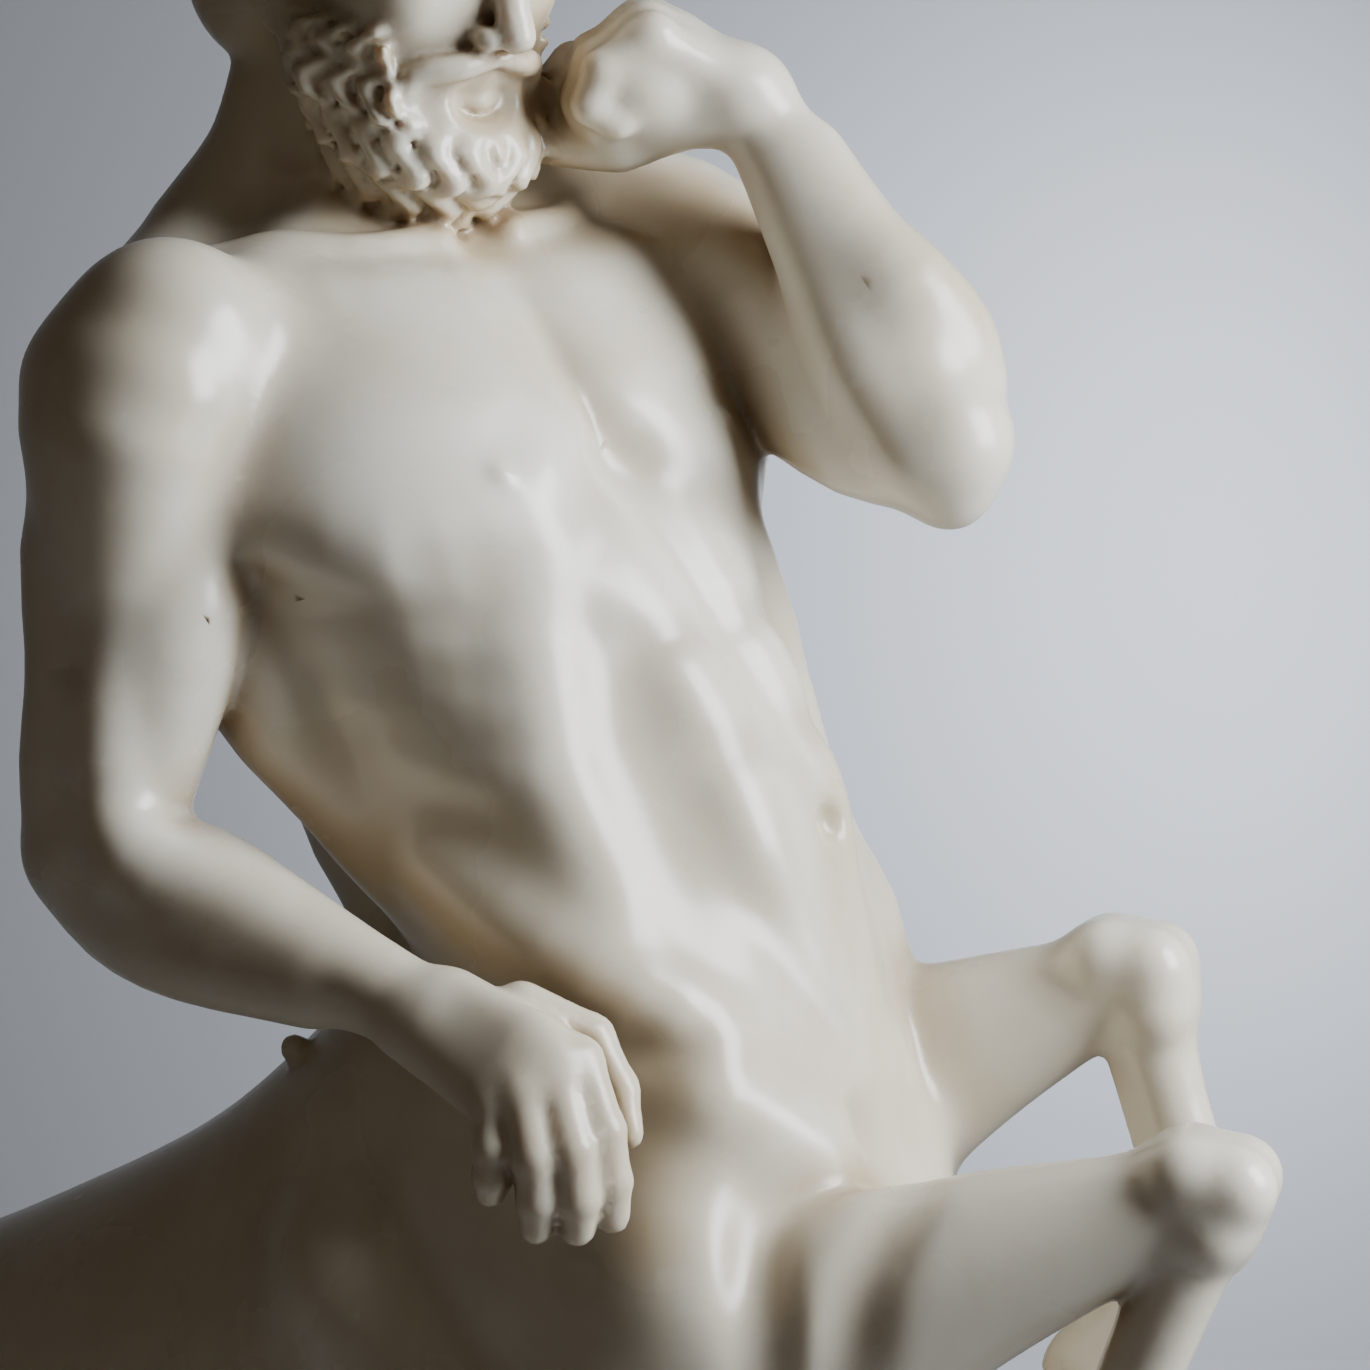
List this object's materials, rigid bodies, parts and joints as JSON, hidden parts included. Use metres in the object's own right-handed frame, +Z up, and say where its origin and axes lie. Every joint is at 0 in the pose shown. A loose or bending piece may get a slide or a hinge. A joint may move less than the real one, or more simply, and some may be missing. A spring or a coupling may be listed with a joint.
{
  "type": "marble centaur sculpture",
  "caption": "Rearing bearded centaur carved in marble, one hand on the hip and the other raised to the beard, set on a low moulded plinth.",
  "frame": {"origin": "middle of the plinth's underside", "axes": "+X the way the horse goes, +Y to the centaur's left, +Z up"},
  "size_m": [1.0167, 0.474, 1.4726],
  "materials": {
    "centaur": "ivory marble, satin polish, honey-brown patina in the hollows",
    "plinth": "grey-white marble, fine honed"
  },
  "bodies": {
    "root": {"centaur": "centaur", "plinth": "plinth"}
  },
  "joints": []
}
